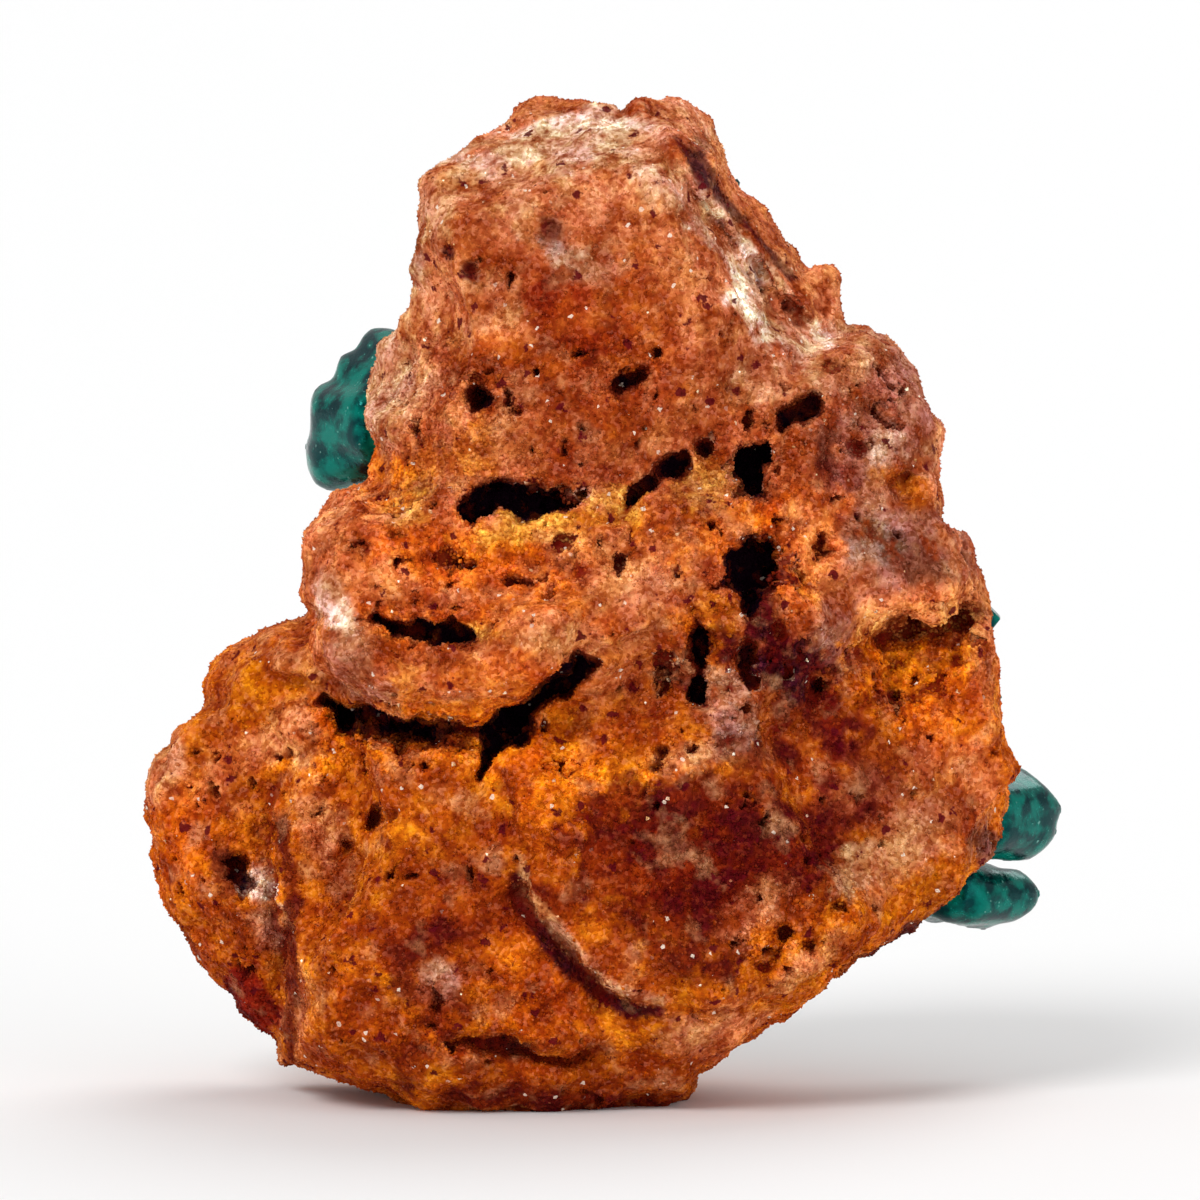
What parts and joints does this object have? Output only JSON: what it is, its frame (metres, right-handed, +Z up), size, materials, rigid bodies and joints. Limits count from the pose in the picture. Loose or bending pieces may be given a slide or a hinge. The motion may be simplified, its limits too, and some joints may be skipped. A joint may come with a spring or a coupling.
{
  "type": "dioptase on matrix",
  "caption": "Mineral specimen: emerald-green dioptase crystals on the far side and edges of a rugged lump of rusty orange, iron-stained rock with hollows and ledges.",
  "frame": {"origin": "middle of the bounding box's underside, on the trimmed base", "axes": "+X to the right across the broad bare face, +Y from that face to the crystal side behind, +Z up"},
  "size_m": [0.0553, 0.0374, 0.0598],
  "materials": {
    "iron_stained_rock": "rough, sugary, rusty orange to maroon",
    "dioptase": "glassy, deep blue-green, see-through at thin edges"
  },
  "bodies": {
    "root": {"matrix": "iron_stained_rock", "dioptase_left": "dioptase", "dioptase_right_upper": "dioptase", "dioptase_right_lower": "dioptase", "dioptase_right_bead_upper": "dioptase", "dioptase_right_bead_lower": "dioptase", "dioptase_far_middle": "dioptase", "dioptase_far_top": "dioptase", "dioptase_far_ridge": "dioptase", "dioptase_far_left": "dioptase", "dioptase_far_right": "dioptase", "dioptase_far_low_middle": "dioptase", "dioptase_far_low_left": "dioptase", "dioptase_far_low_right": "dioptase", "dioptase_far_foot": "dioptase"}
  },
  "joints": []
}
